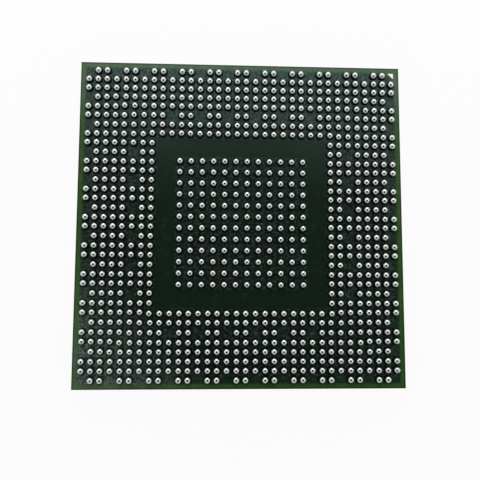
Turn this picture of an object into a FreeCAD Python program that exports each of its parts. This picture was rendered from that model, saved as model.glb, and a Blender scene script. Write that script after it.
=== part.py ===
import FreeCAD, Part
import math
import os

import Sketcher

doc = FreeCAD.newDocument("GraphicsChip")

# Driving sizes in millimetres, and counts

driving_sizes = {
    # Ball matrix
    "narrow_pitch": 0.80,
    "wide_pitch": 0.85,
    "side_ball_count": 34,
    "outer_ring_set_in": 0.05,
    "centre_pitch": 1.0,
    "centre_ball_count": 12,
    "edge_margin": 0.8,
    # Solder ball, once it is joined to the package
    "ball_diameter": 0.6,
    "ball_height": 0.45,
    # Layers of the substrate
    "core_thickness": 0.8,
    "buildup_thickness": 0.1,
    "copper_thickness": 0.015,
    "mask_thickness": 0.025,
    "plane_inset": 0.45,
    # Mark beside the first ball
    "mark_leg": 0.5,
    "mark_inset": 0.5,
    "mark_clearance": 0.16,
    # Die and the resin that holds it
    "die_side": 10.8,
    "die_thickness": 0.78,
    "bump_height": 0.07,
    "bump_field_inset": 0.3,
    "underfill_spread": 0.7,
    "underfill_climb": 0.45,
    "underfill_corner": 0.5,
    "underfill_lip": 0.06,
    # Chip capacitors, a row along each side of the die
    "capacitor_length": 1.0,
    "capacitor_width": 0.5,
    "capacitor_height": 0.5,
    "capacitor_count": 5,
    "capacitor_row_length": 8.4,
    "capacitor_gap_to_die": 2.2,
    "terminal_length": 0.25,
    "terminal_wall": 0.03,
    "land_overhang": 0.22,
    "solder_climb": 0.3,
}
sizes = doc.addObject("Spreadsheet::Sheet", "sizes")
for row, (alias, number) in enumerate(driving_sizes.items(), start=1):
    sizes.set(f"A{row}", alias)
    sizes.set(f"B{row}", str(number))
    sizes.setAlias(f"B{row}", alias)
doc.recompute()

# Sides and levels that follow from the driving sizes. The die's bare back lies at level 0 and
# the balls point up, so each layer starts where the one below it ends.

# Half a row of balls: half a narrow pitch from the middle, then wide, wide, narrow and so on
half_row_count = driving_sizes["side_ball_count"] // 2
row_steps = ["narrow_pitch" if step % 3 == 0 else "wide_pitch" for step in range(1, half_row_count)]
narrow_steps = row_steps.count("narrow_pitch")
wide_steps = row_steps.count("wide_pitch")
row_reach = f"({narrow_steps} + 1 / 2) * sizes.narrow_pitch + {wide_steps} * sizes.wide_pitch"

# Pitch from each ring of balls to the next one in. The outermost ring stands a little inside the
# ends of the rows that it crosses.
ring_steps = ["narrow_pitch"] * 4 + ["wide_pitch", "wide_pitch", "narrow_pitch"]
outer_ring_reach = f"{row_reach} - sizes.outer_ring_set_in"
package_side = f"2 * ({outer_ring_reach} + sizes.edge_margin)"

# The copper's corner beside the mark is cut off at 45 degrees, clear of the mark's long side
plane_side = f"{package_side} - 2 * sizes.plane_inset"
plane_corner = "sizes.mark_leg + sizes.mark_clearance + 2 * (sizes.mark_inset - sizes.plane_inset)"

bump_field_side = "sizes.die_side - 2 * sizes.bump_field_inset"

bump_level = "sizes.die_thickness"
lower_mask_level = f"{bump_level} + sizes.bump_height"
lower_copper_level = f"{lower_mask_level} + sizes.mask_thickness"
lower_buildup_level = f"{lower_copper_level} + sizes.copper_thickness"
core_level = f"{lower_buildup_level} + sizes.buildup_thickness"
upper_buildup_level = f"{core_level} + sizes.core_thickness"
upper_copper_level = f"{upper_buildup_level} + sizes.buildup_thickness"
ball_level = f"{upper_copper_level} + sizes.copper_thickness + sizes.mask_thickness"

# The mask is thicker past the copper's edge, where it comes down on the build-up layer
mask_depth = "sizes.copper_thickness + sizes.mask_thickness"

# The first capacitor lies at the left end of the row in front of the die
first_capacitor_across = "-sizes.capacitor_row_length / 2"
first_capacitor_up = "-(sizes.die_side / 2 + sizes.capacitor_gap_to_die)"


# Sketches and features


def new_body(label, level):
    body = doc.addObject("PartDesign::Body", label)
    body.Label = label
    body.setExpression("Placement.Base.z", level)
    return body


def origin_feature(body, role):
    return next(feature for feature in body.Origin.OriginFeatures if feature.Role == role)


def new_sketch(body, name, plane="XY_Plane", offset=None):
    sketch = body.newObject("Sketcher::SketchObject", name)
    sketch.AttachmentSupport = [(origin_feature(body, plane), "")]
    sketch.MapMode = "FlatFace"
    if offset:
        sketch.setExpression("AttachmentOffset.Base.z", offset)
    return sketch


def name_size(sketch, name, constraint, expression):
    index = sketch.addConstraint(constraint)
    sketch.renameConstraint(index, name)
    sketch.setExpression(f"Constraints.{name}", expression)


def closed_outline(sketch, corners):
    points = [FreeCAD.Vector(x, y, 0) for x, y in corners]
    lines = []
    for start, end in zip(points, points[1:] + points[:1]):
        lines.append(sketch.addGeometry(Part.LineSegment(start, end), False))
    for line, following in zip(lines, lines[1:] + lines[:1]):
        sketch.addConstraint(Sketcher.Constraint("Coincident", line, 2, following, 1))
    return lines


def rectangle(sketch, name, width, length, left=None, front=None):
    """A rectangle round the origin, or one whose lower left corner is at left, front."""
    lines = closed_outline(sketch, [(-1, -1), (1, -1), (1, 1), (-1, 1)])
    for line in lines[0::2]:
        sketch.addConstraint(Sketcher.Constraint("Horizontal", line))
    for line in lines[1::2]:
        sketch.addConstraint(Sketcher.Constraint("Vertical", line))
    bottom, right = lines[0], lines[1]
    name_size(sketch, f"{name}_width", Sketcher.Constraint("DistanceX", bottom, 1, bottom, 2, 2.0), width)
    name_size(sketch, f"{name}_length", Sketcher.Constraint("DistanceY", right, 1, right, 2, 2.0), length)
    if left is None:
        sketch.addConstraint(Sketcher.Constraint("Symmetric", bottom, 1, right, 2, -1, 1))
    else:
        name_size(sketch, f"{name}_left", Sketcher.Constraint("DistanceX", -1, 1, bottom, 1, -1.0), left)
        name_size(sketch, f"{name}_front", Sketcher.Constraint("DistanceY", -1, 1, bottom, 1, -1.0), front)


def cut_square(sketch, side, corner):
    """A square round the origin whose corner beside the mark is cut off at 45 degrees."""
    front, right, slope, back, left = closed_outline(sketch, [(-9, -9), (9, -9), (9, 8), (8, 9), (-9, 9)])
    for line in (front, back):
        sketch.addConstraint(Sketcher.Constraint("Horizontal", line))
    for line in (right, left):
        sketch.addConstraint(Sketcher.Constraint("Vertical", line))
    half = f"({side}) / 2"
    name_size(sketch, "left_reach", Sketcher.Constraint("DistanceX", front, 1, -1, 1, 9.0), half)
    name_size(sketch, "front_reach", Sketcher.Constraint("DistanceY", front, 1, -1, 1, 9.0), half)
    name_size(sketch, "right_reach", Sketcher.Constraint("DistanceX", -1, 1, right, 1, 9.0), half)
    name_size(sketch, "back_reach", Sketcher.Constraint("DistanceY", -1, 1, back, 1, 9.0), half)
    name_size(sketch, "cut_across", Sketcher.Constraint("DistanceX", slope, 2, slope, 1, 1.0), corner)
    name_size(sketch, "cut_up", Sketcher.Constraint("DistanceY", slope, 1, slope, 2, 1.0), corner)


def rounded_square(sketch, side, radius):
    """A square round the origin with rounded corners, drawn as four lines and four quarter arcs."""
    lines = []
    arcs = []
    for quarter in range(4):
        turn = FreeCAD.Rotation(FreeCAD.Vector(0, 0, 1), 90 * quarter)
        start = turn.multVec(FreeCAD.Vector(-8, -9, 0))
        end = turn.multVec(FreeCAD.Vector(8, -9, 0))
        middle = turn.multVec(FreeCAD.Vector(8, -8, 0))
        lines.append(sketch.addGeometry(Part.LineSegment(start, end), False))
        circle = Part.Circle(middle, FreeCAD.Vector(0, 0, 1), 1.0)
        begin = math.radians(90 * (quarter - 1))
        arcs.append(sketch.addGeometry(Part.ArcOfCircle(circle, begin, begin + math.pi / 2), False))
    for quarter in range(4):
        line, arc, following = lines[quarter], arcs[quarter], lines[(quarter + 1) % 4]
        sketch.addConstraint(Sketcher.Constraint("Tangent", line, 2, arc, 1))
        sketch.addConstraint(Sketcher.Constraint("Tangent", arc, 2, following, 1))
        sketch.addConstraint(Sketcher.Constraint("Horizontal" if quarter % 2 == 0 else "Vertical", line))
    sketch.addConstraint(Sketcher.Constraint("Equal", lines[1], lines[0]))
    for arc in arcs[1:]:
        sketch.addConstraint(Sketcher.Constraint("Equal", arc, arcs[0]))
    front, back = lines[0], lines[2]
    sketch.addConstraint(Sketcher.Constraint("Symmetric", front, 1, back, 1, -1, 1))
    name_size(sketch, "radius", Sketcher.Constraint("Radius", arcs[0], 1.0), radius)
    name_size(sketch, "depth", Sketcher.Constraint("DistanceY", front, 1, back, 1, 18.0), side)


def corner_triangle(sketch):
    """A right-angled triangle whose square corner points at the package's own corner."""
    corner, left, lower = (2, 2), (1, 2), (2, 1)
    top, slope, side = closed_outline(sketch, [corner, left, lower])
    sketch.addConstraint(Sketcher.Constraint("Horizontal", top))
    sketch.addConstraint(Sketcher.Constraint("Vertical", side))
    reach = f"({package_side}) / 2 - sizes.mark_inset"
    name_size(sketch, "across", Sketcher.Constraint("DistanceX", -1, 1, top, 1, 2.0), reach)
    name_size(sketch, "up", Sketcher.Constraint("DistanceY", -1, 1, top, 1, 2.0), reach)
    name_size(sketch, "top_leg", Sketcher.Constraint("DistanceX", top, 2, top, 1, 1.0), "sizes.mark_leg")
    name_size(sketch, "side_leg", Sketcher.Constraint("DistanceY", side, 1, side, 2, 1.0), "sizes.mark_leg")


def pad(body, sketch, height):
    feature = body.newObject("PartDesign::Pad", f"{sketch.Name}_pad")
    feature.Profile = sketch
    feature.setExpression("Length", height)
    return feature


def pocket(body, sketch, depth, upwards):
    feature = body.newObject("PartDesign::Pocket", f"{sketch.Name}_pocket")
    feature.Profile = sketch
    feature.Reversed = upwards
    feature.setExpression("Length", depth)
    return feature


def plate(label, side, thickness, level):
    body = new_body(label, level)
    outline = new_sketch(body, f"{label}_outline")
    rectangle(outline, "plate", side, side)
    pad(body, outline, thickness)
    return body


def repeat_round_die(body, features):
    """Repeat one capacitor's piece along its row, then round the four sides of the die."""
    along_row = body.newObject("PartDesign::LinearPattern", f"{body.Name}_along_row")
    along_row.Direction = (origin_feature(body, "X_Axis"), [""])
    along_row.setExpression("Length", "sizes.capacitor_row_length")
    along_row.setExpression("Occurrences", "sizes.capacitor_count")
    round_die = body.newObject("PartDesign::PolarPattern", f"{body.Name}_round_die")
    round_die.Axis = (origin_feature(body, "Z_Axis"), [""])
    round_die.Angle = 360
    round_die.Occurrences = 4
    pattern = body.newObject("PartDesign::MultiTransform", f"{body.Name}_pattern")
    pattern.Originals = features
    pattern.Transformations = [along_row, round_die]
    body.Tip = pattern


# Substrate: a glass-epoxy core between build-up layers, copper sheets and films of solder mask


def copper_sheet(label, level):
    body = new_body(label, level)
    outline = new_sketch(body, f"{label}_outline")
    cut_square(outline, plane_side, plane_corner)
    pad(body, outline, "sizes.copper_thickness")
    return body


def ball_side_mask():
    body = new_body("solder_mask_ball_side", upper_copper_level)
    outline = new_sketch(body, "upper_mask_outline")
    rectangle(outline, "film", package_side, package_side)
    pad(body, outline, mask_depth)
    copper_room = new_sketch(body, "upper_copper_room")
    cut_square(copper_room, plane_side, plane_corner)
    pocket(body, copper_room, "sizes.copper_thickness", upwards=True)
    mark_opening = new_sketch(body, "mark_opening")
    corner_triangle(mark_opening)
    pocket(body, mark_opening, mask_depth, upwards=True)
    return body


def index_mark():
    body = new_body("index_mark", upper_copper_level)
    outline = new_sketch(body, "mark_outline")
    corner_triangle(outline)
    pad(body, outline, mask_depth)
    return body


def capacitor_land_outline(body, name, offset=None):
    """The two lands of the first capacitor, each reaching out past its terminal."""
    sketch = new_sketch(body, name, offset=offset)
    length = "sizes.terminal_length + sizes.land_overhang"
    front = f"{first_capacitor_up} - sizes.capacitor_width / 2"
    half = "sizes.capacitor_length / 2"
    left_end = f"{first_capacitor_across} - {half} - sizes.land_overhang"
    right_start = f"{first_capacitor_across} + {half} - sizes.terminal_length"
    rectangle(sketch, "left_land", length, "sizes.capacitor_width", left_end, front)
    rectangle(sketch, "right_land", length, "sizes.capacitor_width", right_start, front)
    return sketch


def die_side_mask():
    body = new_body("solder_mask_die_side", lower_mask_level)
    outline = new_sketch(body, "lower_mask_outline")
    rectangle(outline, "film", package_side, package_side)
    pad(body, outline, mask_depth)
    copper_room = new_sketch(body, "lower_copper_room", offset=mask_depth)
    cut_square(copper_room, plane_side, plane_corner)
    pocket(body, copper_room, "sizes.copper_thickness", upwards=False)
    land_openings = capacitor_land_outline(body, "land_openings")
    opening = pocket(body, land_openings, "sizes.mask_thickness", upwards=True)
    repeat_round_die(body, [opening])
    return body


def substrate():
    return [
        die_side_mask(),
        copper_sheet("copper_die_side", lower_copper_level),
        plate("buildup_die_side", package_side, "sizes.buildup_thickness", lower_buildup_level),
        plate("core", package_side, "sizes.core_thickness", core_level),
        plate("buildup_ball_side", package_side, "sizes.buildup_thickness", upper_buildup_level),
        copper_sheet("copper_ball_side", upper_copper_level),
        ball_side_mask(),
        index_mark(),
    ]


# Die, mounted face up on a field of bumps, with a fillet of resin round its foot


def underfill():
    body = new_body("underfill", f"{bump_level} - sizes.underfill_climb")
    thin_edge = new_sketch(body, "underfill_thin_edge")
    rounded_square(thin_edge, "sizes.die_side + 2 * sizes.underfill_lip", "sizes.underfill_lip")
    foot_level = "sizes.underfill_climb + sizes.bump_height"
    foot = new_sketch(body, "underfill_foot", offset=foot_level)
    rounded_square(foot, "sizes.die_side + 2 * sizes.underfill_spread", "sizes.underfill_corner")
    fillet = body.newObject("PartDesign::AdditiveLoft", "underfill_fillet")
    fillet.Profile = thin_edge
    fillet.Sections = [foot]
    fillet.Ruled = True
    doc.recompute()
    die_room = new_sketch(body, "underfill_die_room")
    rectangle(die_room, "die", "sizes.die_side", "sizes.die_side")
    pocket(body, die_room, "sizes.underfill_climb", upwards=True)
    bump_room = new_sketch(body, "underfill_bump_room", offset=foot_level)
    rectangle(bump_room, "bumps", bump_field_side, bump_field_side)
    pocket(body, bump_room, "sizes.bump_height", upwards=False)
    return body


def die_and_joint():
    return [
        plate("die", "sizes.die_side", "sizes.die_thickness", "0"),
        plate("bump_field", bump_field_side, "sizes.bump_height", bump_level),
        underfill(),
    ]


# Chip capacitors on the die's side of the substrate, hanging down from its mask


def capacitor_lands():
    body = new_body("capacitor_lands", lower_mask_level)
    lands = pad(body, capacitor_land_outline(body, "lands_outline"), "sizes.mask_thickness")
    repeat_round_die(body, [lands])
    return body


def ceramic_outline(body, name, offset):
    """The ceramic block of the first capacitor, which fills both its terminals."""
    sketch = new_sketch(body, name, offset=offset)
    length = "sizes.capacitor_length - 2 * sizes.terminal_wall"
    width = "sizes.capacitor_width - 2 * sizes.terminal_wall"
    left = f"{first_capacitor_across} - ({length}) / 2"
    front = f"{first_capacitor_up} - ({width}) / 2"
    rectangle(sketch, "ceramic", length, width, left, front)
    return sketch


def capacitor_terminals():
    body = new_body("capacitor_terminals", f"{lower_mask_level} - sizes.capacitor_height")
    ends = new_sketch(body, "terminal_ends")
    front = f"{first_capacitor_up} - sizes.capacitor_width / 2"
    half = "sizes.capacitor_length / 2"
    left_end = f"{first_capacitor_across} - {half}"
    right_start = f"{first_capacitor_across} + {half} - sizes.terminal_length"
    rectangle(ends, "left_end", "sizes.terminal_length", "sizes.capacitor_width", left_end, front)
    rectangle(ends, "right_end", "sizes.terminal_length", "sizes.capacitor_width", right_start, front)
    blocks = pad(body, ends, "sizes.capacitor_height")
    room = ceramic_outline(body, "ceramic_room", "sizes.terminal_wall")
    sockets = pocket(body, room, "sizes.capacitor_height - 2 * sizes.terminal_wall", upwards=True)
    repeat_round_die(body, [blocks, sockets])
    return body


def capacitor_ceramics():
    body = new_body("capacitor_ceramics", f"{lower_mask_level} - sizes.capacitor_height")
    outline = ceramic_outline(body, "ceramic_block", "sizes.terminal_wall")
    block = pad(body, outline, "sizes.capacitor_height - 2 * sizes.terminal_wall")
    repeat_round_die(body, [block])
    return body


def capacitor_solder():
    """A wedge of solder from the end of each terminal out over its land."""
    body = new_body("capacitor_solder", lower_mask_level)
    section = new_sketch(body, "solder_section", plane="XZ_Plane", offset=f"-({first_capacitor_up})")
    half = "sizes.capacitor_length / 2"
    for side, turn in (("left", -1), ("right", 1)):
        foot, rise, slope = closed_outline(section, [(turn * 2, 0), (turn, 0), (turn, -1)])
        section.addConstraint(Sketcher.Constraint("Horizontal", foot))
        section.addConstraint(Sketcher.Constraint("Vertical", rise))
        section.addConstraint(Sketcher.Constraint("PointOnObject", foot, 1, -1))
        edge = f"{first_capacitor_across} + ({turn}) * {half}"
        overhang = f"({turn}) * sizes.land_overhang"
        name_size(section, f"{side}_edge", Sketcher.Constraint("DistanceX", -1, 1, foot, 2, 1.0 * turn), edge)
        name_size(section, f"{side}_foot", Sketcher.Constraint("DistanceX", foot, 2, foot, 1, 1.0 * turn), overhang)
        name_size(
            section, f"{side}_rise", Sketcher.Constraint("DistanceY", rise, 2, rise, 1, 1.0), "sizes.solder_climb"
        )
    wedges = pad(body, section, "sizes.capacitor_width")
    wedges.SideType = "Symmetric"
    repeat_round_die(body, [wedges])
    return body


# Solder balls. Four fields, one along each side of the package, hold eight rings of balls between
# them and meet on the diagonals. Along a side the balls stand in pairs at the narrow pitch, with a
# single ball between two pairs at the wide pitch, and some of the singles are left out.


def size(alias):
    return float(sizes.get(alias))


side_ball_count = int(size("side_ball_count"))
centre_ball_count = int(size("centre_ball_count"))
ring_count = len(ring_steps) + 1
thinned_ring = 5


def places_along_side():
    """Distances from the side's middle: narrow over the middle, then wide, wide, narrow and so on."""
    reach = [size("narrow_pitch") / 2]
    for alias in row_steps:
        reach.append(reach[-1] + size(alias))
    return [-place for place in reversed(reach)] + reach


def ring_reaches():
    """Distance of each ring from the package's middle, outermost first."""
    reaches = [places_along_side()[-1] - size("outer_ring_set_in")]
    for alias in ring_steps:
        reaches.append(reaches[-1] - size(alias))
    return reaches


def is_left_out(ring, index):
    """True where a ring has no ball: each single of the outermost ring, and of the sixth beside the middle."""
    is_single = index % 3 == 0
    beside_middle = min(index, side_ball_count - 1 - index) >= ring_count
    return is_single and (ring == 0 or ring == thinned_ring and beside_middle)


def side_ball_sites(row):
    """Places of the balls in one row across the package, from the side of the mark."""
    along = places_along_side()
    reaches = ring_reaches()
    last = side_ball_count - 1
    row_ring = min(row, last - row)
    row_side = 1 if row < side_ball_count / 2 else -1
    sites = []
    for column in range(side_ball_count):
        column_ring = min(column, last - column)
        column_side = 1 if column < side_ball_count / 2 else -1
        ring = min(row_ring, column_ring)
        if ring >= ring_count or is_left_out(ring, column if row_ring <= column_ring else row):
            continue
        across = column_side * reaches[column_ring] if column_ring == ring else -along[column]
        up = row_side * reaches[row_ring] if row_ring == ring else -along[row]
        sites.append((across, up))
    return sites


def centre_ball_sites():
    middle = (centre_ball_count - 1) / 2
    places = [(index - middle) * size("centre_pitch") for index in range(centre_ball_count)]
    return [(across, up) for up in places for across in places]


def solder_ball():
    """A ball with ten faces: a square seat, the same square turned 45 degrees on top, eight triangles between."""
    radius = size("ball_diameter") / 2

    def square(turn, level):
        angles = [turn + quarter * math.pi / 2 for quarter in range(4)]
        return [FreeCAD.Vector(radius * math.cos(angle), radius * math.sin(angle), level) for angle in angles]

    seat = square(0.0, 0.0)
    crown = square(math.pi / 4, size("ball_height"))
    outlines = [seat, crown]
    for quarter in range(4):
        following = (quarter + 1) % 4
        outlines.append([seat[quarter], seat[following], crown[quarter]])
        outlines.append([crown[quarter], seat[following], crown[following]])
    faces = [Part.Face(Part.makePolygon(outline + outline[:1])) for outline in outlines]
    ball = Part.Solid(Part.Shell(faces))
    if ball.Volume < 0:
        ball.reverse()
    return ball


def ball_group(label, ball, sites):
    group = doc.addObject("Part::Feature", label)
    group.Label = label
    group.Shape = Part.makeCompound([ball.translated(FreeCAD.Vector(x, y, 0)) for x, y in sites])
    group.setExpression("Placement.Base.z", ball_level)
    return group


def row_names():
    """Row letters in the usual order for a ball grid, which leaves out I, O, Q, S, X and Z."""
    letters = "abcdefghjklmnprtuvwy"
    return (list(letters) + ["a" + letter for letter in letters])[:side_ball_count]


def solder_balls():
    ball = solder_ball()
    groups = []
    for row, name in enumerate(row_names()):
        groups.append(ball_group(f"balls_row_{name}", ball, side_ball_sites(row)))
    groups.append(ball_group("balls_centre", ball, centre_ball_sites()))
    return groups


parts = substrate() + die_and_joint()
parts += [capacitor_lands(), capacitor_solder(), capacitor_terminals(), capacitor_ceramics()]
parts += solder_balls()
doc.recompute()

failed = [thing.Name for thing in doc.Objects if {"Invalid", "Error"} & set(thing.State)]
if failed:
    raise RuntimeError(f"these objects did not build: {failed}")
for part in parts:
    if part.Shape.isNull() or not part.Shape.isValid() or not part.Shape.Solids:
        raise RuntimeError(f"{part.Label} has no valid solid")

os.makedirs("parts", exist_ok=True)
for part in parts:
    part.Shape.exportStep(f"parts/{part.Label}.step")
    box = part.Shape.BoundBox
    print(
        f"{part.Label}: {len(part.Shape.Solids)} solids, {part.Shape.Volume:.4f} mm3, "
        f"x {box.XMin:.3f} {box.XMax:.3f}, y {box.YMin:.3f} {box.YMax:.3f}, z {box.ZMin:.3f} {box.ZMax:.3f}"
    )
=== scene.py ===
import math

import bmesh
import bpy
import numpy as np
from mathutils import Matrix, Vector


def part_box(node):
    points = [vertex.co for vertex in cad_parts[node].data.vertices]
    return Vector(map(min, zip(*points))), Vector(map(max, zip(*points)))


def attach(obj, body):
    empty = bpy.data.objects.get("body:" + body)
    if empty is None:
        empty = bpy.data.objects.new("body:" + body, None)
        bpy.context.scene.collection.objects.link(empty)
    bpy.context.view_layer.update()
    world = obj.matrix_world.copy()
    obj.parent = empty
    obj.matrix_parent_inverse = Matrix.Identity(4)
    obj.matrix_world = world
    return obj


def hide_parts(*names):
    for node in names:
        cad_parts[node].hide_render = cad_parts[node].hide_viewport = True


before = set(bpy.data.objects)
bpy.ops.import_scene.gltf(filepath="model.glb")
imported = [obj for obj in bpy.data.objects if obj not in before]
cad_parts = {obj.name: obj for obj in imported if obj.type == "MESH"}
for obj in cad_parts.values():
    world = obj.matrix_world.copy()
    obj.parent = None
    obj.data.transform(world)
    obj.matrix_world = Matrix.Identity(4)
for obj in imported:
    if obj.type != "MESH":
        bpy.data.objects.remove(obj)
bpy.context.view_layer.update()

mm = 0.001
print("frame loaded:", len(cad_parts), "nodes")


# Shader nodes

def addNode(tree, kind, sockets=None, **settings):
    # Settings are set by name, and each socket takes a plain value or a link from another socket
    made = tree.nodes.new(kind)
    for name, value in settings.items():
        setattr(made, name, value)
    for name, value in (sockets or {}).items():
        if isinstance(value, bpy.types.NodeSocket):
            tree.links.new(value, made.inputs[name])
        else:
            made.inputs[name].default_value = value
    return made


def newMaterial(name, **shaderValues):
    # A Principled material. Plain values go on its own sockets, and place is the Object coordinate.
    material = bpy.data.materials.new(name)
    material.use_nodes = True
    tree = material.node_tree
    shader = tree.nodes["Principled BSDF"]
    for socket, value in shaderValues.items():
        shader.inputs[socket].default_value = value
    place = addNode(tree, "ShaderNodeTexCoord").outputs["Object"]
    return material, tree, shader, place


def calculate(tree, operation, first, second=0.0, clamp=False):
    sockets = {0: first, 1: second}
    return addNode(tree, "ShaderNodeMath", sockets, operation=operation, use_clamp=clamp).outputs[0]


def stretched(tree, place, scale):
    return addNode(tree, "ShaderNodeMapping", {"Vector": place, "Scale": scale}).outputs["Vector"]


def noise(tree, place, size, detail=2.0, roughness=0.5):
    # Noise from 0 to 1, whose blotches are about as wide as size, in metres
    sockets = {"Vector": place, "Scale": 1 / size, "Detail": detail, "Roughness": roughness}
    return addNode(tree, "ShaderNodeTexNoise", sockets).outputs[0]


def smoothStep(tree, value, start, end, low=0.0, high=1.0):
    sockets = {"Value": value, "From Min": start, "From Max": end, "To Min": low, "To Max": high}
    return addNode(tree, "ShaderNodeMapRange", sockets, interpolation_type="SMOOTHSTEP").outputs[0]


def blendColours(tree, factor, first, second):
    # In the Mix node, inputs 0, 6 and 7 are the factor and the two colours, output 2 the colour
    made = addNode(tree, "ShaderNodeMix", data_type="RGBA")
    for index, value in ((0, factor), (6, first), (7, second)):
        if isinstance(value, bpy.types.NodeSocket):
            tree.links.new(value, made.inputs[index])
        else:
            made.inputs[index].default_value = value if index == 0 else (*value, 1)
    return made.outputs[2]


def addBump(tree, shader, height, depth, strength=1.0):
    sockets = {"Height": height, "Distance": depth, "Strength": strength}
    bump = addNode(tree, "ShaderNodeBump", sockets)
    tree.links.new(bump.outputs["Normal"], shader.inputs["Normal"])


middleOfNoise = (0.3, 0.7)  # most values of a noise lie between these


def dress(nodeName, material):
    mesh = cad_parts[nodeName].data
    mesh.materials.clear()
    mesh.materials.append(material)


# Meshes

def nodeVertices(nodeName):
    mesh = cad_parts[nodeName].data
    vertices = np.empty(len(mesh.vertices) * 3, np.float32)
    mesh.vertices.foreach_get("co", vertices)
    return vertices.reshape(-1, 3).astype(float)


def nodeCorners(nodeName, perSolid):
    # Lowest and highest corner of each solid in a CAD node, whose vertices come in runs of perSolid
    solids = nodeVertices(nodeName).reshape(-1, perSolid, 3)
    return solids.min(axis=1), solids.max(axis=1)


def surfaceMesh(name, rings, firstPoles=None, lastPoles=None):
    # rings has one point for each copy, ring and step around. Neighbouring rings are joined by
    # quads that close around. Poles close the two ends, and without them the last ring joins the
    # first.
    copies, ringCount, around = rings.shape[:3]
    vertices = rings.reshape(-1, 3)
    index = np.arange(copies * ringCount * around).reshape(copies, ringCount, around)
    turned = np.roll(index, -1, axis=2)
    if firstPoles is None:
        lower, lowerTurned = np.roll(index, -1, axis=1), np.roll(turned, -1, axis=1)
        faces = np.stack([index, turned, lowerTurned, lower], axis=-1).reshape(-1, 4).tolist()
    else:
        quads = np.stack([index[:, :-1], turned[:, :-1], turned[:, 1:], index[:, 1:]], axis=-1)
        first = np.broadcast_to(len(vertices) + np.arange(copies)[:, None], (copies, around))
        last = first + copies
        firstFan = np.stack([first, turned[:, 0], index[:, 0]], axis=-1)
        lastFan = np.stack([last, index[:, -1], turned[:, -1]], axis=-1)
        fans = np.concatenate([firstFan.reshape(-1, 3), lastFan.reshape(-1, 3)])
        faces = quads.reshape(-1, 4).tolist() + fans.tolist()
        vertices = np.concatenate([vertices, firstPoles, lastPoles])
    mesh = bpy.data.meshes.new(name)
    mesh.from_pydata(vertices, [], faces)
    return mesh


mergeWithin = 1e-7  # metres
dissolveUnder = 1e-8


def cleanUp(mesh, sharpAngle):
    # Merges doubles, turns the faces outwards and keeps edges over sharpAngle, in degrees, crisp
    work = bmesh.new()
    work.from_mesh(mesh)
    bmesh.ops.remove_doubles(work, verts=work.verts, dist=mergeWithin)
    bmesh.ops.dissolve_degenerate(work, edges=work.edges, dist=dissolveUnder)
    bmesh.ops.recalc_face_normals(work, faces=work.faces)
    work.to_mesh(mesh)
    work.free()
    mesh.polygons.foreach_set("use_smooth", np.ones(len(mesh.polygons), bool))
    mesh.set_sharp_from_angle(angle=math.radians(sharpAngle))


def newPiece(mesh, material, slotName, *nodeNames):
    mesh.materials.append(material)
    piece = bpy.data.objects.new(mesh.name, mesh)
    bpy.context.scene.collection.objects.link(piece)
    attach(piece, "root")
    if nodeNames:
        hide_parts(*nodeNames)


# Solder mask: thin green film, dark where copper lies below it and brighter over the bare laminate

maskFinish = {
    "overCopper": (0.0102, 0.0214, 0.0124),
    "nearRim": (0.0100, 0.0360, 0.0095),
    # Painted sheen: the mask is made paler towards the back, as if it mirrored the bright sky
    "paintedSheenBack": (0.0180, 0.0460, 0.0310),
    # Painted glare: the mask is made paler and greyer at the front left corner
    "paintedGlareCorner": (0.0860, 0.1290, 0.1000),
    "coolPatch": (0.0330, 0.0520, 0.0700),
    "warmPatch": (0.0640, 0.0500, 0.0470),
    "greenPatch": (0.0140, 0.0480, 0.0320),
    "rimLeft": (0.036, 0.099, 0.019),
    "rimRight": (0.040, 0.112, 0.025),
    # Painted glare: the rim is made paler at the front left corner
    "rimPaintedGlare": (0.096, 0.168, 0.078),
    # Painted sheen: the rim is made paler towards the back
    "rimPaintedSheen": (0.100, 0.178, 0.096),
    # A dark line along the package's outer edge
    "darkEdgeLine": (0.010, 0.020, 0.004),
    "edgeSoftness": 0.12 * mm,
    "darkEdgeWidth": 0.17 * mm,
    "patchSize": 0.55 * mm,
    "mottleSize": 0.26 * mm,
    "warmStretch": (1.0, 1.3, 3.0),
    "grainSize": 0.24 * mm,
    "peelSize": 0.12 * mm,
    "peelDepth": 0.004 * mm,
    "peelStrength": 0.5,
    "smearSize": 1.65 * mm,
    "smearShare": 0.14,
    "roughness": 0.24,
    "shine": 0.2,
    "ballMargin": 0.3 * mm,
    "nearRimWidth": 0.9 * mm,
    "coolRange": (0.50, 0.72),
    "warmRange": (0.52, 0.74),
    "greenRange": (0.52, 0.75),
    "grainRange": (0.32, 0.68, -0.6, 1.1),
    # Painted sheen: how much the grain scale is lifted at the back
    "paintedSheenLift": 0.5,
    # How much the grain scale is lifted at the front right
    "liftAtFrontRight": 0.3,
    "paintedSheenAside": 0.72,
    "paintedGlareShare": 0.9,
    "greenShare": 0.6,
    "nearRimShare": 0.75,
    "rimPatchRange": (0.3, 0.8),
    "rimPatchShare": 0.4,
    "darkEdgeShare": 0.9,
}
# Where each change of tone begins and ends along x, y or their sum or difference, in half widths of
# the package
maskReach = {
    "paintedSheenBack": (0.0, 1.0),
    "paintedSheenAside": (0.6, 1.0),
    "paintedGlareCorner": (-1.75, -1.0),
    "paintedSheenLift": (0.2, 1.0),
    "liftAtFrontRight": (0.7, 1.4),
    "nearRimFront": (0.0, 1.0),
    "rimPaintedSheen": (0.5, 1.0),
    "rimPaintedGlare": (-2.0, -0.8),
}
verticesPerBall = 32  # in the CAD nodes' meshes
ballNodes = [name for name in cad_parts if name.startswith("balls_")]
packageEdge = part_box("core")[1].x


def ballCentres():
    corners = [nodeCorners(name, verticesPerBall) for name in ballNodes]
    return np.concatenate([(lowest + highest) / 2 for lowest, highest in corners])


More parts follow.
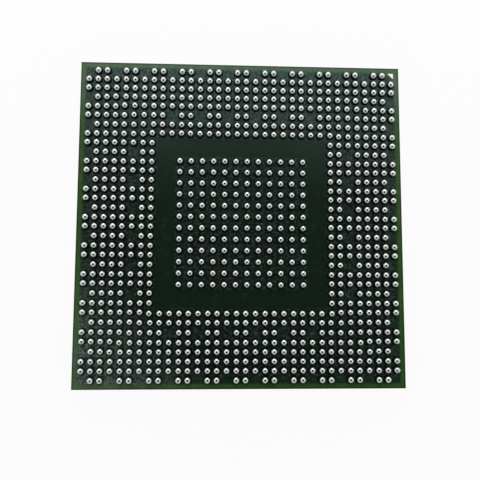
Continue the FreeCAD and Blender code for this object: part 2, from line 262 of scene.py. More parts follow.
def bareRing():
    # How far from the middle the bare ring round the centre field begins and ends
    reaches = np.abs(ballCentres()[:, :2]).max(axis=1)
    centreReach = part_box("balls_centre")[1].x
    return centreReach, float(reaches[reaches > centreReach].min()) - maskFinish["ballMargin"]


def maskTone(tree, value, toneName, low, high):
    start, end = (packageEdge * reach for reach in maskReach[toneName])
    return smoothStep(tree, value, start, end, low, high)


def towardsPaintedGlare(tree, place):
    # How much painted glare: from 0 near the middle to 1 at the front left corner
    split = addNode(tree, "ShaderNodeSeparateXYZ", {"Vector": place})
    diagonal = calculate(tree, "ADD", split.outputs["X"], split.outputs["Y"])
    return maskTone(tree, diagonal, "paintedGlareCorner", 1.0, 0.0)


def maskPlane(tree, place, x, y, furthest, patches, ballSide):
    # The mask over copper: a plain dark green, with painted sheen that makes it paler towards the
    # back and painted glare that makes it paler at the front left corner, with cool, warm and green
    # patches.
    # In the ball fields a grain scales it, lifted by more painted sheen at the back and lifted at
    # the front right.
    finish = maskFinish
    ringStart, ringEnd = bareRing()
    soft = finish["edgeSoftness"]
    inCentre = smoothStep(tree, furthest, ringStart, ringStart + 2 * soft, 1.0, 0.0)
    inFields = smoothStep(tree, furthest, ringEnd - 2 * soft, ringEnd)
    mottled = calculate(tree, "MULTIPLY", calculate(tree, "MAXIMUM", inCentre, inFields), ballSide)
    flattened = stretched(tree, place, finish["warmStretch"])
    cool = noise(tree, place, finish["mottleSize"], detail=3.0, roughness=0.6)
    cool = smoothStep(tree, cool, *finish["coolRange"])
    warm = noise(tree, flattened, finish["mottleSize"], detail=3.0)
    warm = smoothStep(tree, warm, *finish["warmRange"])
    green = smoothStep(tree, patches, *finish["greenRange"])
    # Painted glare towards the front left corner
    atPaintedGlare = calculate(tree, "MULTIPLY", towardsPaintedGlare(tree, place), ballSide)
    # Painted sheen: paler towards the back, less so towards the sides
    atBack = maskTone(tree, y, "paintedSheenBack", 0.0, ballSide)
    aside = calculate(tree, "ABSOLUTE", x)
    aside = maskTone(tree, aside, "paintedSheenAside", 1.0, finish["paintedSheenAside"])
    atBack = calculate(tree, "MULTIPLY", atBack, aside)
    plane = blendColours(tree, atBack, finish["overCopper"], finish["paintedSheenBack"])
    for share, amount, colour in (
        (atPaintedGlare, finish["paintedGlareShare"], "paintedGlareCorner"),
        (cool, mottled, "coolPatch"),
        (warm, mottled, "warmPatch"),
        (green, finish["greenShare"], "greenPatch"),
    ):
        share = calculate(tree, "MULTIPLY", share, amount)
        plane = blendColours(tree, share, plane, finish[colour])

    grain = noise(tree, place, finish["grainSize"], roughness=0.7)
    grain = smoothStep(tree, grain, *finish["grainRange"])
    # Painted sheen: the grain scale is lifted towards the back
    back = maskTone(tree, y, "paintedSheenLift", 0.0, finish["paintedSheenLift"])
    # The grain scale is also lifted towards the front right, which makes the mask brighter there
    frontRight = calculate(tree, "SUBTRACT", x, y)
    frontRight = maskTone(tree, frontRight, "liftAtFrontRight", 0.0, finish["liftAtFrontRight"])
    grain = calculate(tree, "ADD", calculate(tree, "ADD", grain, back), frontRight)
    grain = calculate(tree, "ADD", calculate(tree, "MULTIPLY", grain, mottled), 1.0)
    grained = addNode(tree, "ShaderNodeVectorMath", {0: plane, "Scale": grain}, operation="SCALE")
    return grained.outputs["Vector"], atPaintedGlare


def solderMask(name, copperNode, ballSide):
    # The distance past the copper is the greater of x and y less its reach, or that past its cut
    # corner. ballSide is 1 for the balls' side and 0 for the plain die side.
    finish = maskFinish
    material, tree, shader, place = newMaterial(name, **{"Specular IOR Level": finish["shine"]})
    sheet = nodeVertices(copperNode)
    reach = float(sheet[:, 0].max())
    cornerSum = float(sheet[:, :2].sum(axis=1).max())
    soft = finish["edgeSoftness"]

    split = addNode(tree, "ShaderNodeSeparateXYZ", {"Vector": place})
    x, y = split.outputs["X"], split.outputs["Y"]
    awayX, awayY = (calculate(tree, "ABSOLUTE", value) for value in (x, y))
    furthest = calculate(tree, "MAXIMUM", awayX, awayY)
    diagonal = calculate(tree, "ADD", x, y)
    pastSide = calculate(tree, "SUBTRACT", furthest, reach)
    pastCorner = calculate(tree, "SUBTRACT", diagonal, cornerSum)
    onRim = smoothStep(tree, calculate(tree, "MAXIMUM", pastSide, pastCorner), -soft, soft)

    patches = noise(tree, place, finish["patchSize"], detail=4.0, roughness=0.6)
    plane, atPaintedGlare = maskPlane(tree, place, x, y, furthest, patches, ballSide)
    nearRimFrom = reach - finish["nearRimWidth"]
    nearRim = smoothStep(tree, furthest, nearRimFrom, reach, 0.0, finish["nearRimShare"])
    nearRim = calculate(tree, "MULTIPLY", nearRim, maskTone(tree, y, "nearRimFront", ballSide, 0.0))
    nearRim = calculate(tree, "MULTIPLY", nearRim, calculate(tree, "SUBTRACT", 1.0, atPaintedGlare))
    plane = blendColours(tree, nearRim, plane, finish["nearRim"])

    toRight = smoothStep(tree, x, -reach, reach)
    rim = blendColours(tree, toRight, finish["rimLeft"], finish["rimRight"])
    # Painted sheen: the rim is paler towards the back
    rimPaintedSheen = maskTone(tree, y, "rimPaintedSheen", 0.0, ballSide)
    rim = blendColours(tree, rimPaintedSheen, rim, finish["rimPaintedSheen"])
    # Painted glare: the rim is paler at the front left corner
    rimPaintedGlare = maskTone(tree, diagonal, "rimPaintedGlare", ballSide, 0.0)
    rim = blendColours(tree, rimPaintedGlare, rim, finish["rimPaintedGlare"])
    rimPatches = smoothStep(tree, patches, *finish["rimPatchRange"], 0.0, finish["rimPatchShare"])
    rim = blendColours(tree, rimPatches, rim, finish["overCopper"])
    colour = blendColours(tree, onRim, plane, rim)
    # The mask darkens in a thin line along the package's outer edge
    darkEdgeFrom = packageEdge - finish["darkEdgeWidth"]
    sawn = smoothStep(tree, furthest, darkEdgeFrom, packageEdge, 0.0, finish["darkEdgeShare"])
    colour = blendColours(tree, sawn, colour, finish["darkEdgeLine"])
    tree.links.new(colour, shader.inputs["Base Color"])

    smear = noise(tree, place, finish["smearSize"], detail=3.0)
    smear = calculate(tree, "MULTIPLY", smear, finish["smearShare"])
    roughness = calculate(tree, "ADD", smear, finish["roughness"] - finish["smearShare"] / 2)
    tree.links.new(roughness, shader.inputs["Roughness"])
    peel = noise(tree, place, finish["peelSize"], detail=3.0)
    addBump(tree, shader, peel, finish["peelDepth"], finish["peelStrength"])
    return material


dress("solder_mask_ball_side", solderMask("maskBallSide", "copper_ball_side", 1.0))
dress("solder_mask_die_side", solderMask("maskDieSide", "copper_die_side", 0.0))
print("solder mask")


# Laminate edges: plies of woven glass in resin, with a thinner plain build-up film on each side

laminateFinish = {
    "resin": (0.150, 0.150, 0.070),
    "glass": (0.265, 0.265, 0.155),
    "film": (0.115, 0.120, 0.050),
    "plies": 7,
    "yarnPitch": 0.84 * mm,
    "waverSize": 0.9 * mm,
    "waver": 5.0,
    "clothRange": (-0.1, 0.7, 0.1, 0.75),
    "fibreSize": 0.03 * mm,
    "fibreStretch": (0.12, 0.12, 1.0),
    "fibreShare": 0.25,
    "filmFibreShare": 0.5,
    "sawMarks": (0.06, 0.06, 0.03),
    "sawStretch": (1.0, 1.0, 0.08),
    "sawShare": 0.25,
    "sawSize": 0.02 * mm,
    "sawDepth": 0.004 * mm,
    "sawStrength": 0.5,
    "roughness": 0.5,
}


def laminate(name, clothNode=None):
    # Cut yarns show as flat lenses, one ply's between the next one's: the product of a sine along
    # the edge and a sine through the thickness, with the fibres as noise drawn out along the edge.
    finish = laminateFinish
    material, tree, shader, place = newMaterial(name, Roughness=finish["roughness"])
    alongFibres = stretched(tree, place, finish["fibreStretch"])
    fibres = noise(tree, alongFibres, finish["fibreSize"], detail=3.0)
    saw = noise(tree, stretched(tree, place, finish["sawStretch"]), finish["sawSize"])
    if clothNode:
        low, high = (corner.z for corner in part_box(clothNode))
        split = addNode(tree, "ShaderNodeSeparateXYZ", {"Vector": place})
        along = calculate(tree, "ADD", split.outputs["X"], split.outputs["Y"])
        through = calculate(tree, "SUBTRACT", split.outputs["Z"], low)
        waver = noise(tree, place, finish["waverSize"], detail=1.0)
        waver = calculate(tree, "MULTIPLY", waver, finish["waver"])
        yarnAngle = calculate(tree, "MULTIPLY", along, 2 * math.pi / finish["yarnPitch"])
        plyAngle = calculate(tree, "MULTIPLY", through, math.pi * finish["plies"] / (high - low))
        yarns = calculate(tree, "SINE", calculate(tree, "ADD", yarnAngle, waver))
        plies = calculate(tree, "SINE", plyAngle)
        cloth = smoothStep(tree, calculate(tree, "MULTIPLY", yarns, plies), *finish["clothRange"])
        fibres = calculate(tree, "MULTIPLY", fibres, finish["fibreShare"])
        glass = calculate(tree, "ADD", cloth, fibres, clamp=True)
        colour = blendColours(tree, glass, finish["resin"], finish["glass"])
    else:
        fibres = calculate(tree, "MULTIPLY", fibres, finish["filmFibreShare"])
        colour = blendColours(tree, fibres, finish["film"], finish["resin"])
    sawn = calculate(tree, "MULTIPLY", saw, finish["sawShare"])
    colour = blendColours(tree, sawn, colour, finish["sawMarks"])
    tree.links.new(colour, shader.inputs["Base Color"])
    addBump(tree, shader, saw, finish["sawDepth"], finish["sawStrength"])
    return material


dress("core", laminate("glassLaminate", "core"))
buildup = laminate("buildupFilm")
dress("buildup_ball_side", buildup)
dress("buildup_die_side", buildup)
print("laminate")


# Metals: copper sheets and lands, tin on the capacitors' ends, the bare mark and the solder

metalFinishes = {
    "copperSheet": {
        "colour": (0.72, 0.32, 0.16),
        "stain": (0.45, 0.20, 0.11),
        "stainSize": 0.8 * mm,
        "roughness": 0.30,
        "grainSize": 0.03 * mm,
        "grainDepth": 0.002 * mm,
    },
    "bareMark": {
        "colour": (0.96, 0.97, 0.95),
        "stain": (0.88, 0.89, 0.86),
        "stainSize": 0.3 * mm,
        "roughness": 0.45,
        "grainSize": 0.03 * mm,
        "grainDepth": 0.002 * mm,
    },
    "terminalTin": {
        "colour": (0.74, 0.73, 0.70),
        "stain": (0.58, 0.57, 0.54),
        "stainSize": 0.12 * mm,
        "roughness": 0.32,
        "grainSize": 0.03 * mm,
        "grainDepth": 0.003 * mm,
    },
    "jointSolder": {
        "colour": (0.72, 0.73, 0.70),
        "stain": (0.55, 0.56, 0.54),
        "stainSize": 0.15 * mm,
        "roughness": 0.30,
        "grainSize": 0.04 * mm,
        "grainDepth": 0.004 * mm,
    },
}
stainRange = (0.35, 0.75)
stainDulling = 0.12
grainStrength = 0.6


def metal(name):
    # Where it is stained, a metal is darker and a little duller
    finish = metalFinishes[name]
    material, tree, shader, place = newMaterial(name, Metallic=1.0)
    stains = noise(tree, place, finish["stainSize"], detail=4.0, roughness=0.6)
    stains = smoothStep(tree, stains, *stainRange)
    colour = blendColours(tree, stains, finish["colour"], finish["stain"])
    tree.links.new(colour, shader.inputs["Base Color"])
    clean = finish["roughness"]
    roughness = smoothStep(tree, stains, 0.0, 1.0, clean, clean + stainDulling)
    tree.links.new(roughness, shader.inputs["Roughness"])
    grain = noise(tree, place, finish["grainSize"], detail=3.0)
    addBump(tree, shader, grain, finish["grainDepth"], grainStrength)
    return material


copper = metal("copperSheet")
for nodeName in ("copper_ball_side", "copper_die_side", "capacitor_lands"):
    dress(nodeName, copper)
dress("index_mark", metal("bareMark"))
tin = metal("terminalTin")
print("metals")


# Solder balls: bright, slightly frosted spheres cut flat where they sit on their pads, with a low
# cone of painted shade on the mask round each

ballFinish = {
    "around": 12,
    "bands": 6,
    "colour": (0.715, 0.768, 0.738),
    "dulled": (0.540, 0.582, 0.560),
    "roughness": (0.06, 0.17),
    "frostRange": (0.35, 0.7),
    "frostSize": 0.05 * mm,
    "frostDepth": 0.002 * mm,
    "dentSize": 0.20 * mm,
    "dentDepth": 0.007 * mm,
    "toneSeed": 5,
    "sharpAngle": 60,
}
# A low near-black cone on the mask round each ball: painted shade where the ball shades the mask
paintedShadeFinish = {
    "radii": (0.20 * mm, 0.32 * mm, 0.39 * mm),
    "heights": (0.012 * mm, 0.008 * mm, 0.001 * mm),
    "deepShade": (0.0004, 0.0007, 0.0005),
    "softShade": (0.0015, 0.0022, 0.0016),
    "paintedGlareCorner": (0.012, 0.018, 0.015),
    "shadeMottleSize": 0.05 * mm,
    "roughness": 0.6,
    "shine": 0.1,
}


def ballSolder():
    # One tone for each ball comes from the mesh, and a finer frost lies over it
    finish = ballFinish
    material, tree, shader, place = newMaterial("ballSolder", Metallic=1.0)
    tone = addNode(tree, "ShaderNodeAttribute", attribute_name="ballTone").outputs["Fac"]
    frost = noise(tree, place, finish["frostSize"], detail=3.0, roughness=0.6)
    frosted = smoothStep(tree, frost, *finish["frostRange"])
    dull = calculate(tree, "MULTIPLY", tone, frosted, clamp=True)
    colour = blendColours(tree, dull, finish["colour"], finish["dulled"])
    tree.links.new(colour, shader.inputs["Base Color"])
    roughness = smoothStep(tree, tone, 0.0, 1.0, *finish["roughness"])
    tree.links.new(roughness, shader.inputs["Roughness"])
    dents = noise(tree, place, finish["dentSize"], detail=1.0)
    dents = calculate(tree, "MULTIPLY", dents, finish["dentDepth"])
    height = calculate(tree, "ADD", dents, calculate(tree, "MULTIPLY", frost, finish["frostDepth"]))
    addBump(tree, shader, height, 1.0)
    return material


def solderBalls(nodeName, material, tones):
    # A point is the ball's centre plus its radius along (polar angle, turn). The polar angle runs
    # from the crown to where the sphere meets its pad, and the two poles close crown and seat.
    lowest, highest = nodeCorners(nodeName, verticesPerBall)
    size = highest - lowest
    radius = size[0, 0] / 2
    height = size[0, 2]
    seatAngle = math.acos(1 - height / radius)
    polar = np.linspace(0, seatAngle, ballFinish["bands"] + 1)[1:, None]
    turn = np.linspace(0, 2 * math.pi, ballFinish["around"], endpoint=False)[None, :]
    around, upward = np.sin(polar), np.cos(polar) + 0 * turn
    sphere = np.stack([around * np.cos(turn), around * np.sin(turn), upward], axis=-1)
    seats = (lowest + highest) / 2
    seats[:, 2] = lowest[:, 2]
    centres = seats + [0, 0, height - radius]
    rings = centres[:, None, None, :] + radius * sphere
    mesh = surfaceMesh("solder_" + nodeName, rings, centres + [0, 0, radius], seats)
    copies, perRing = len(seats), ballFinish["bands"] * ballFinish["around"]
    ballTones = tones.random(copies)
    tone = mesh.attributes.new("ballTone", "FLOAT", "POINT")
    ringTones = np.repeat(ballTones, perRing)
    tone.data.foreach_set("value", np.concatenate([ringTones, ballTones, ballTones]))
    cleanUp(mesh, ballFinish["sharpAngle"])
    newPiece(mesh, material, "solder", nodeName)
    return copies


# Near-black painted shade with a faint mottle
def paintedShadeMaterial():
    finish = paintedShadeFinish
    values = {"Roughness": finish["roughness"], "Specular IOR Level": finish["shine"]}
    material, tree, shader, place = newMaterial("paintedShadeMaterial", **values)
    shadeMottle = noise(tree, place, finish["shadeMottleSize"], detail=3.0)
    colour = blendColours(tree, shadeMottle, finish["deepShade"], finish["softShade"])
    # The painted shade is made lighter where the painted glare lies at the front left corner
    colour = blendColours(tree, towardsPaintedGlare(tree, place), colour, finish["paintedGlareCorner"])
    tree.links.new(colour, shader.inputs["Base Color"])
    return material


def paintedShadeCollars(material):
    # A point is the ball's centre plus a radius along the turn, from inside the seat to the foot of
    # the collar. The height falls from the first radius to the last: a low cone round each ball, a
    # near-black sheet of painted shade where the ball shades the mask.
    centres = ballCentres()
    centres[:, 2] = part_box("solder_mask_ball_side")[1].z
    turn = np.linspace(0, 2 * math.pi, ballFinish["around"], endpoint=False)
    radii, heights = np.array(paintedShadeFinish["radii"]), np.array(paintedShadeFinish["heights"])
    circle = np.stack([np.cos(turn), np.sin(turn), 0 * turn], axis=-1)
    cone = radii[:, None, None] * circle + heights[:, None, None] * np.array([0, 0, 1])
    firstPoles, lastPoles = centres + [0, 0, heights[0]], centres + [0, 0, heights[-1]]
    mesh = surfaceMesh("painted_shade_collars", centres[:, None, None] + cone, firstPoles, lastPoles)
    cleanUp(mesh, ballFinish["sharpAngle"])
    newPiece(mesh, material, "solder_mask")


solder = ballSolder()
tones = np.random.default_rng(ballFinish["toneSeed"])
print("solder balls:", sum(solderBalls(name, solder, tones) for name in ballNodes))
paintedShadeCollars(paintedShadeMaterial())


# Die: ground silicon, held by dark resin that climbs its sides in a hollow curve

dieFinish = {
    "ground": (0.20, 0.21, 0.235),
    "brighter": (0.27, 0.28, 0.30),
    "cloudSize": 3.0 * mm,
    "scratchSize": 0.05 * mm,
    "scratchStretch": (1.0, 0.03, 1.0),
    "scratchDepth": 0.001 * mm,
    "scratchStrength": 0.4,
    "roughness": (0.10, 0.22),
}
resinFinish = {
    "resin": (0.012, 0.011, 0.012),
    "filler": (0.05, 0.045, 0.045),
    "browned": (0.03, 0.02, 0.016),
    "fillerRange": (0.55, 0.75),
    "fillerSize": 0.05 * mm,
    "fillerDepth": 0.003 * mm,
    "fillerStrength": 0.5,
    "brownedShare": 0.5,
    "cloudSize": 0.9 * mm,
    "roughness": (0.28, 0.45),
    "ior": 1.5,
}


def silicon():
    # Grinding leaves scratches all one way
    finish = dieFinish
    material, tree, shader, place = newMaterial("groundSilicon", Metallic=1.0)
    cloud = noise(tree, place, finish["cloudSize"], detail=3.0)
    scratches = noise(tree, stretched(tree, place, finish["scratchStretch"]), finish["scratchSize"])
    colour = blendColours(tree, cloud, finish["ground"], finish["brighter"])
    tree.links.new(colour, shader.inputs["Base Color"])
    roughness = smoothStep(tree, scratches, *middleOfNoise, *finish["roughness"])
    tree.links.new(roughness, shader.inputs["Roughness"])
    addBump(tree, shader, scratches, finish["scratchDepth"], finish["scratchStrength"])
    return material


def darkResin():
    finish = resinFinish
    material, tree, shader, place = newMaterial("darkResin", IOR=finish["ior"])
    filler = noise(tree, place, finish["fillerSize"], detail=4.0, roughness=0.7)
    cloud = noise(tree, place, finish["cloudSize"])
    grains = smoothStep(tree, filler, *finish["fillerRange"])
    colour = blendColours(tree, grains, finish["resin"], finish["filler"])
    browned = calculate(tree, "MULTIPLY", cloud, finish["brownedShare"])
    colour = blendColours(tree, browned, colour, finish["browned"])
    tree.links.new(colour, shader.inputs["Base Color"])
    roughness = smoothStep(tree, cloud, *middleOfNoise, *finish["roughness"])
    tree.links.new(roughness, shader.inputs["Roughness"])
    addBump(tree, shader, filler, finish["fillerDepth"], finish["fillerStrength"])
    return material


filletShape = {
    "curveSteps": 10,
    "arcSteps": 8,
    "thinCorner": 0.06 * mm,
    "footCorner": 0.5 * mm,
    "innerCorner": 0.001 * mm,
    "thinLip": 0.06 * mm,
    "sharpAngle": 50,
}


def roundedSquarePath(halfSide, corner, arcSteps):
    # Four quarter arcs of radius corner, joined by straight sides; halfSide and corner are columns
    angle = np.linspace(0, math.pi / 2, arcSteps + 1)
    quarter = np.arange(4)[:, None] * math.pi / 2
    diagonal = quarter + math.pi / 4
    angles = (quarter + angle).reshape(1, -1)
    signs = np.sign(np.stack([np.cos(diagonal), np.sin(diagonal)], axis=-1))
    signs = np.repeat(signs, arcSteps + 1, axis=1).reshape(1, -1, 2)
    arc = np.stack([np.cos(angles), np.sin(angles)], axis=-1)
    return signs * (halfSide - corner)[..., None] + arc * corner[..., None]


def resinFillet(material):
    # The profile runs down a quarter of an ellipse from the thin edge on the die's side to the foot
    # on the substrate, then back under the die and up its side. It goes round a rounded square.
    shape = filletShape
    dieHigh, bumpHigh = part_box("die")[1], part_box("bump_field")[1]
    resinLow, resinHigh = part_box("underfill")
    step = np.linspace(0, 1, shape["curveSteps"] + 1)
    hollow = 1 - np.sqrt(1 - step ** 2)
    lip = dieHigh.x + shape["thinLip"]
    reach = lip + (resinHigh.x - lip) * hollow
    level = resinLow.z + (resinHigh.z - resinLow.z) * step
    corner = shape["thinCorner"] + (shape["footCorner"] - shape["thinCorner"]) * hollow
    innerReach = [bumpHigh.x, bumpHigh.x, dieHigh.x, dieHigh.x]
    innerLevel = [resinHigh.z, dieHigh.z, dieHigh.z, resinLow.z]
    reach = np.concatenate([reach, innerReach])[:, None]
    level = np.concatenate([level, innerLevel])[:, None]
    corner = np.concatenate([corner, [shape["innerCorner"]] * len(innerReach)])[:, None]
    path = roundedSquarePath(reach, corner, shape["arcSteps"])
    level = np.broadcast_to(level[..., None], path.shape[:2] + (1,))
    rings = np.concatenate([path, level], axis=-1)
    mesh = surfaceMesh("resin_fillet", rings[None])
    cleanUp(mesh, shape["sharpAngle"])
    newPiece(mesh, material, "resin", "underfill")


dress("die", silicon())
resin = darkResin()
dress("bump_field", resin)
resinFillet(resin)
print("die and resin")


# Chip capacitors: a rounded ceramic block, a tin cap on each end and a hollow fillet of solder

capacitorShape = {
    "verticesPerBlock": 24,
    "wall": 0.03 * mm,
    "capLength": 0.25 * mm,
    "ceramicRounding": 0.03 * mm,
    "capRounding": 0.05 * mm,
    "solderReach": 0.22 * mm,
    "solderClimb": 0.30 * mm,
    "solderHollow": 0.45,
    "solderSteps": 6,
    "poleShare": 0.1,
    "blockSharpAngle": 50,
    "solderSharpAngle": 40,
}
ceramicFinish = {
    "tan": (0.33, 0.20, 0.10),
    "speckle": (0.45, 0.30, 0.17),
    "darker": (0.24, 0.14, 0.075),
    "speckleRange": (0.4, 0.7),
    "speckleSize": 0.03 * mm,
    "speckleDepth": 0.002 * mm,
    "speckleStrength": 0.5,
    "darkerShare": 0.4,
    "cloudSize": 0.4 * mm,
    "roughness": (0.38, 0.55),
}


def ceramic():
    finish = ceramicFinish
    material, tree, shader, place = newMaterial("tanCeramic")
    speckle = noise(tree, place, finish["speckleSize"], detail=4.0, roughness=0.7)
    cloud = noise(tree, place, finish["cloudSize"])
    specks = smoothStep(tree, speckle, *finish["speckleRange"])
    colour = blendColours(tree, specks, finish["tan"], finish["speckle"])
    darker = calculate(tree, "MULTIPLY", cloud, finish["darkerShare"])
    colour = blendColours(tree, darker, colour, finish["darker"])
    tree.links.new(colour, shader.inputs["Base Color"])
    roughness = smoothStep(tree, speckle, *middleOfNoise, *finish["roughness"])
    tree.links.new(roughness, shader.inputs["Roughness"])
    addBump(tree, shader, speckle, finish["speckleDepth"], finish["speckleStrength"])
    return material


def roundedBlocks(name, centres, halves, rounding):
    # A sphere of radius rounding whose eight octants are pushed apart until the block is full size.
    # Each octant's first and last angles are given twice over, once for the octant on either side.
    polar = np.radians([0, 45, 90, 90, 135, 180])[:, None]
    turn = np.radians([0, 45, 90, 90, 135, 180, 180, 225, 270, 270, 315, 360])[None, :]
    upper = np.array([1, 1, 1, -1, -1, -1])[:, None] + 0 * turn
    east = np.array([1, 1, 1, -1, -1, -1, -1, -1, -1, 1, 1, 1])[None, :] + 0 * polar
    north = np.array([1, 1, 1, 1, 1, 1, -1, -1, -1, -1, -1, -1])[None, :] + 0 * polar
    around, upward = np.sin(polar), np.cos(polar) + 0 * turn
    ball = np.stack([around * np.cos(turn), around * np.sin(turn), upward], axis=-1)
    octant = np.stack([east, north, upper], axis=-1)
    rings = centres[:, None, None] + rounding * ball + octant * (halves - rounding)[:, None, None]
    upright = halves * [0, 0, 1]
    mesh = surfaceMesh(name, rings, centres + upright, centres - upright)
    cleanUp(mesh, capacitorShape["blockSharpAngle"])
    return mesh


def solderFillets(centres, outward, halfWidth, top):
    # Each section is the corner where cap and land meet, then a hollow between the reach on the
    # land and the climb on the cap: the straight line between them, blended with a quarter of an
    # ellipse. It is carried across the cap's width.
    shape = capacitorShape
    reach, climb, hollow = shape["solderReach"], shape["solderClimb"], shape["solderHollow"]
    part = np.linspace(0, 1, shape["solderSteps"] + 1)
    angle = part * math.pi / 2
    out = np.concatenate([[0], reach * ((1 - part) * (1 - hollow) + (1 - np.sin(angle)) * hollow)])
    down = np.concatenate([[0], climb * (part * (1 - hollow) + (1 - np.cos(angle)) * hollow)])
    across = np.array([-1, 1]) * halfWidth
    sideways = np.stack([-outward[:, 1], outward[:, 0]], axis=-1)
    rings = np.empty((len(centres), 2, len(out), 3))
    rings[..., :2] = (centres[:, None, None, :2] + outward[:, None, None] * out[None, None, :, None]
                      + sideways[:, None, None] * across[None, :, None, None])
    rings[..., 2] = top - down
    poles = (centres[:, None, :2] + outward[:, None] * reach * shape["poleShare"]
             + sideways[:, None] * across[:, None])
    level = np.full(poles.shape[:2] + (1,), top - climb * shape["poleShare"])
    poles = np.concatenate([poles, level], axis=-1)
    mesh = surfaceMesh("capacitor_fillets", rings, poles[:, 0], poles[:, 1])
    cleanUp(mesh, shape["solderSharpAngle"])
    return mesh


lowest, highest = nodeCorners("capacitor_ceramics", capacitorShape["verticesPerBlock"])
centres, halves = (lowest + highest) / 2, (highest - lowest) / 2
ceramics = roundedBlocks("capacitor_blocks", centres, halves, capacitorShape["ceramicRounding"])
newPiece(ceramics, ceramic(), "capacitor_ceramic", "capacitor_ceramics")

full = halves + capacitorShape["wall"]
lengthways = np.where(halves[:, :1] > halves[:, 1:2], [[1.0, 0.0, 0.0]], [[0.0, 1.0, 0.0]])
capHalves = np.where(lengthways > 0, capacitorShape["capLength"] / 2, full)
toEnd = lengthways * (full - capHalves)
capCentres = np.concatenate([centres - toEnd, centres + toEnd])
capHalves = np.concatenate([capHalves, capHalves])
caps = roundedBlocks("capacitor_caps", capCentres, capHalves, capacitorShape["capRounding"])
newPiece(caps, tin, "tinned_terminal", "capacitor_terminals")

outward = np.concatenate([-lengthways, lengthways])
ends = np.concatenate([centres - lengthways * full, centres + lengthways * full])
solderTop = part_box("capacitor_solder")[1].z
fillets = solderFillets(ends, outward[:, :2], float(np.min(full[:, :2])), solderTop)
newPiece(fillets, metal("jointSolder"), "solder", "capacitor_solder")
print("capacitors:", len(centres))


# Floor, light and camera

studio = {
    "floorHalfSide": 600 * mm,
    "floorWhite": 0.95,
    "floorGlow": 0.93,
    "paperSize": 0.5 * mm,
    "paperShade": 0.02,
    "skyBright": 1.0,
    "feltSize": 1.0 * mm,
    "feltContrast": (0.8, 1.2),
    "mattRoughness": 0.9,
    "wallRadius": 450 * mm,
    "wallSteps": 48,
    "lowWallTo": 9.0,
    "lowWallShade": 0.02,
    "frontWallTo": 55.0,
    "frontWallTurn": 120.0,
    "frontWallShade": 0.62,
    "boardPlace": (0.8 * mm, -15.0 * mm, 48.0 * mm),
    "boardRadius": 38.0 * mm,
    "boardSteps": 64,
    "boardShade": 0.0025,
    "lampPlace": (-20 * mm, 320 * mm, 190 * mm),
    "lampSide": 345 * mm,
    "lampPower": 0.38,
}
cameraView = {
    "place": (-1.95 * mm, -5.40 * mm, 46.11 * mm),
    "lookAlong": (0.0414, 0.0869, -0.9954),
    "upward": (-0.0074, 0.9962, 0.0866),
    "lens": 37.5,
    "sensor": 36.0,
    "nearest": 1 * mm,
}


def paleFloor():
    # White paper: it keeps a soft shadow, and seen directly or in metal it glows to plain white
    side = studio["floorHalfSide"]
    mesh = bpy.data.meshes.new("floor")
    corners = [(-side, -side, 0), (side, -side, 0), (side, side, 0), (-side, side, 0)]
    mesh.from_pydata(corners, [], [(0, 1, 2, 3)])
    material, tree, shader, place = newMaterial("paleFloor", Roughness=studio["mattRoughness"])
    fibres = noise(tree, place, studio["paperSize"], detail=3.0)
    white, greyer = ((studio["floorWhite"] - shade,) * 3 for shade in (0.0, studio["paperShade"]))
    tree.links.new(blendColours(tree, fibres, white, greyer), shader.inputs["Base Color"])
    glow = addNode(tree, "ShaderNodeEmission", {"Color": (1, 1, 1, 1), "Strength": 1.0})
    rays = addNode(tree, "ShaderNodeLightPath").outputs
    seen = calculate(tree, "ADD", rays["Is Camera Ray"], rays["Is Glossy Ray"], clamp=True)
    seen = calculate(tree, "ADD", seen, rays["Is Transmission Ray"], clamp=True)
    factor = calculate(tree, "MULTIPLY", seen, studio["floorGlow"])
    sockets = {0: factor, 1: shader.outputs[0], 2: glow.outputs[0]}
    mixed = addNode(tree, "ShaderNodeMixShader", sockets)
    tree.links.new(mixed.outputs[0], tree.nodes["Material Output"].inputs["Surface"])
    mesh.materials.append(material)
    floor = bpy.data.objects.new("floor", mesh)
    bpy.context.scene.collection.objects.link(floor)


def studioSky():
    world = bpy.data.worlds.new("studioSky")
    bpy.context.scene.world = world
    world.use_nodes = True
    background = world.node_tree.nodes["Background"].inputs
    background["Color"].default_value = (1, 1, 1, 1)
    background["Strength"].default_value = studio["skyBright"]


def studioCard(name, points, faces, shade):
    # Felt that the balls mirror and that holds light back. The camera looks through it.
    mesh = bpy.data.meshes.new(name)
    mesh.from_pydata(points, [], faces)
    material, tree, shader, place = newMaterial(name, Roughness=studio["mattRoughness"])
    felt = noise(tree, place, studio["feltSize"], detail=3.0)
    shades = [(shade * part,) * 3 for part in studio["feltContrast"]]
    tree.links.new(blendColours(tree, felt, *shades), shader.inputs["Base Color"])
    mesh.materials.append(material)
    card = bpy.data.objects.new(name, mesh)
    card.visible_camera = False
    bpy.context.scene.collection.objects.link(card)


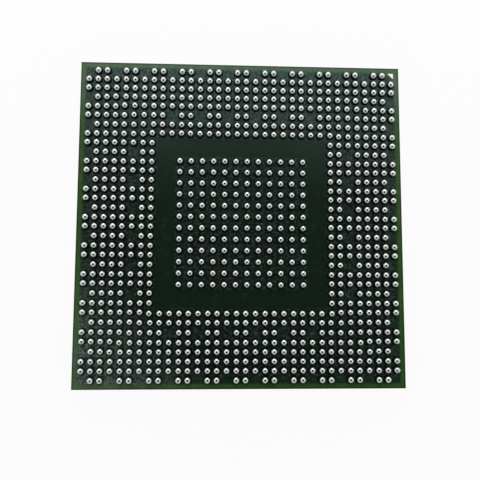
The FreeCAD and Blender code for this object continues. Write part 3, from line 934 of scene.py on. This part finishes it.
def lensBoard():
    # A dark round board round the lens: its rim is the centre plus the radius along the turn
    turn = np.linspace(0, 2 * math.pi, studio["boardSteps"], endpoint=False)
    circle = np.stack([np.cos(turn), np.sin(turn), 0 * turn], axis=-1)
    points = studio["boardPlace"] + studio["boardRadius"] * circle
    studioCard("lensBoard", points, [tuple(range(studio["boardSteps"]))], studio["boardShade"])


def roundWall(name, turns, elevations, shade):
    # Part of an upright round wall: at each turn the radius along it, and the radius times the
    # tangent of each elevation for the height. The angles are in degrees.
    steps, radius = studio["wallSteps"], studio["wallRadius"]
    turn = np.radians(np.linspace(*turns, steps + 1))
    heights = radius * np.tan(np.radians(elevations))[:, None] + 0 * turn
    circle = radius * np.stack([np.cos(turn), np.sin(turn)], axis=-1)
    circle = np.broadcast_to(circle, heights.shape + (2,))
    points = np.concatenate([circle, heights[..., None]], axis=-1).reshape(-1, 3)
    faces = [(i, i + 1, i + steps + 2, i + steps + 1) for i in range(steps)]
    studioCard(name, points, faces, shade)


def areaLamp():
    light = bpy.data.lights.new("softLamp", "AREA")
    light.shape = "SQUARE"
    light.size = studio["lampSide"]
    light.energy = studio["lampPower"]
    lamp = bpy.data.objects.new("softLamp", light)
    lamp.location = studio["lampPlace"]
    lamp.rotation_euler = (-Vector(studio["lampPlace"])).to_track_quat("-Z", "Y").to_euler()
    bpy.context.scene.collection.objects.link(lamp)


def photographCamera():
    lens = bpy.data.cameras.new("camera")
    lens.lens = cameraView["lens"]
    lens.sensor_width = cameraView["sensor"]
    lens.clip_start = cameraView["nearest"]
    camera = bpy.data.objects.new("camera", lens)
    back = -Vector(cameraView["lookAlong"]).normalized()
    right = Vector(cameraView["upward"]).cross(back).normalized()
    turn = Matrix((right, back.cross(right), back)).transposed()
    camera.matrix_world = Matrix.Translation(cameraView["place"]) @ turn.to_4x4()
    bpy.context.scene.collection.objects.link(camera)
    bpy.context.scene.camera = camera


paleFloor()
studioSky()
lensBoard()
roundWall("lowWall", (0, 360), (0, studio["lowWallTo"]), studio["lowWallShade"])
halfTurn = studio["frontWallTurn"] / 2
turns = (270 - halfTurn, 270 + halfTurn)  # 270 degrees is the front
elevations = (studio["lowWallTo"], studio["frontWallTo"])
roundWall("frontWall", turns, elevations, studio["frontWallShade"])
areaLamp()
photographCamera()
bpy.context.scene.view_settings.view_transform = "Standard"
print("studio")
